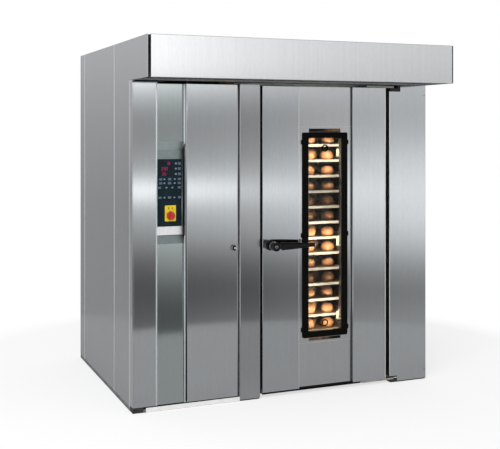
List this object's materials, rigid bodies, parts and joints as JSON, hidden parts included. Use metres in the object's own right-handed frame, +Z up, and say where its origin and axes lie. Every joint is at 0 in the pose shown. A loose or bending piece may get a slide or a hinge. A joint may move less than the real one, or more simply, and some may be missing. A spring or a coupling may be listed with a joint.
{
  "type": "rotating rack oven",
  "caption": "Stainless steel rotating rack oven for a bakery: hinged door with tall lit window, lever handle, service door, control column, steam hood and a turning tray rack.",
  "frame": {"origin": "centre of the bounding box on the floor", "axes": "+Z up, -Y out of the front with the door and the hood, +X to the right as seen from the front"},
  "size_m": [2.2, 1.9202, 2.4005],
  "materials": {
    "stainless_front": "vertical brushed stainless sheet",
    "stainless_inside": "plain stainless sheet",
    "galvanised_sheet": "dull galvanised sheet",
    "black_block": "black painted steel",
    "black_rubber": "matt black silicone rubber",
    "black_grip": "black moulded grip",
    "chrome_fittings": "polished chrome",
    "navy_board": "dark blue overlay",
    "pale_keys": "printed keys and display windows",
    "yellow_plate": "yellow plate",
    "red_knob": "red knob",
    "window_glass": "clear toughened glass",
    "lamp_glass": "warm lamp glass",
    "lamp_ceramic": "pale heat-resistant lamp holder",
    "mineral_wool": "pressed mineral wool",
    "machine_paint": "grey machine enamel",
    "tray_aluminium": "aluminised baking tray",
    "wheel_rubber": "dark heat-resistant wheel",
    "brass_fittings": "brass fittings"
  },
  "bodies": {
    "cabinet": {"base_frame": "galvanised_sheet", "floor_pan": "stainless_inside", "levelling_feet": "black_block", "left_side_panels": "stainless_front", "right_side_panels": "stainless_front", "rear_panels": "stainless_front", "roof_panel": "galvanised_sheet", "front_corner_post": "stainless_front", "front_header": "galvanised_sheet", "centre_pillar": "stainless_front", "right_pillar": "stainless_front", "control_strip": "stainless_front", "control_channel": "stainless_front", "control_board": "navy_board", "display_and_keys": "pale_keys", "main_switch_plate": "yellow_plate", "door_frame": "stainless_inside", "latch_keepers": "chrome_fittings", "hinge_blocks": "black_block", "hood_fascia": "stainless_front", "hood_cheeks": "stainless_front", "hood_top": "stainless_front", "hood_underside": "galvanised_sheet", "chamber_walls": "stainless_inside", "insulation_slabs": "mineral_wool", "steam_cascade": "stainless_inside", "heat_exchanger": "stainless_inside", "burner": "machine_paint", "flue_pipe": "stainless_inside", "fan_housing": "galvanised_sheet", "fan_motor": "machine_paint", "rack_drive": "machine_paint", "supply_fittings": "brass_fittings"},
    "door": {"door_left_strip": "stainless_front", "door_right_strip": "stainless_front", "door_channel": "stainless_front", "door_core": "mineral_wool", "door_liner": "stainless_inside", "window_panes": "window_glass", "window_gasket": "black_rubber", "window_rings": "black_rubber", "lamp_holders": "lamp_ceramic", "lamp_bulbs": "lamp_glass", "door_seal": "black_rubber", "hinge_arms": "stainless_inside"},
    "handle": {"handle_hub": "black_block", "handle_grip": "black_grip"},
    "service_door": {"service_door": "stainless_front"},
    "service_lock": {"service_lock": "black_block"},
    "main_switch": {"main_switch_knob": "red_knob"},
    "rotor": {"rack_hook": "stainless_inside", "rack_frame": "stainless_inside", "trays": "tray_aluminium"},
    "fan": {"fan_wheel": "galvanised_sheet"},
    "caster_left": {"swivel_fork_left": "galvanised_sheet"},
    "caster_right": {"swivel_fork_right": "galvanised_sheet"},
    "front_wheel_left": {"front_wheel_left": "wheel_rubber"},
    "front_wheel_right": {"front_wheel_right": "wheel_rubber"},
    "rear_wheel_left": {"rear_wheel_left": "wheel_rubber"},
    "rear_wheel_right": {"rear_wheel_right": "wheel_rubber"}
  },
  "joints": [
    {"name": "door_swing", "type": "hinge", "parent": "cabinet", "child": "door", "pos_m": [0.825, -0.59512, 1], "axis": [0, 0, 1], "range_deg": [0, 120]},
    {"name": "handle_turn", "type": "hinge", "parent": "door", "child": "handle", "pos_m": [-0.142, -0.67512, 1.034], "axis": [0, 1, 0], "range_deg": [0, 90]},
    {"name": "service_door_swing", "type": "hinge", "parent": "cabinet", "child": "service_door", "pos_m": [-0.73, -0.60512, 1], "axis": [0, 0, -1], "range_deg": [0, 105]},
    {"name": "service_lock_turn", "type": "hinge", "parent": "service_door", "child": "service_lock", "pos_m": [-0.405, -0.61512, 1.03], "axis": [0, -1, 0], "range_deg": [0, 90]},
    {"name": "main_switch_turn", "type": "hinge", "parent": "cabinet", "child": "main_switch", "pos_m": [-0.834, -0.57512, 1.256], "axis": [0, 1, 0], "range_deg": [0, 90]},
    {"name": "rotor_spin", "type": "hinge", "parent": "cabinet", "child": "rotor", "pos_m": [0.2835, 0.135, 1], "axis": [0, 0, 1], "continuous": true},
    {"name": "fan_spin", "type": "hinge", "parent": "cabinet", "child": "fan", "pos_m": [-0.76981, 0.30812, 1.5], "axis": [0, 0, 1], "continuous": true},
    {"name": "caster_swivel_left", "type": "hinge", "parent": "rotor", "child": "caster_left", "pos_m": [0.0085, -0.275, 0.175], "axis": [0, 0, 1], "continuous": true},
    {"name": "caster_swivel_right", "type": "hinge", "parent": "rotor", "child": "caster_right", "pos_m": [0.5585, -0.275, 0.175], "axis": [0, 0, 1], "continuous": true},
    {"name": "front_wheel_left_spin", "type": "hinge", "parent": "caster_left", "child": "front_wheel_left", "pos_m": [0.0085, -0.24, 0.0955], "axis": [1, 0, 0], "continuous": true},
    {"name": "front_wheel_right_spin", "type": "hinge", "parent": "caster_right", "child": "front_wheel_right", "pos_m": [0.5585, -0.24, 0.0955], "axis": [1, 0, 0], "continuous": true},
    {"name": "rear_wheel_left_spin", "type": "hinge", "parent": "rotor", "child": "rear_wheel_left", "pos_m": [0.0085, 0.545, 0.0955], "axis": [1, 0, 0], "continuous": true},
    {"name": "rear_wheel_right_spin", "type": "hinge", "parent": "rotor", "child": "rear_wheel_right", "pos_m": [0.5585, 0.545, 0.0955], "axis": [1, 0, 0], "continuous": true}
  ]
}
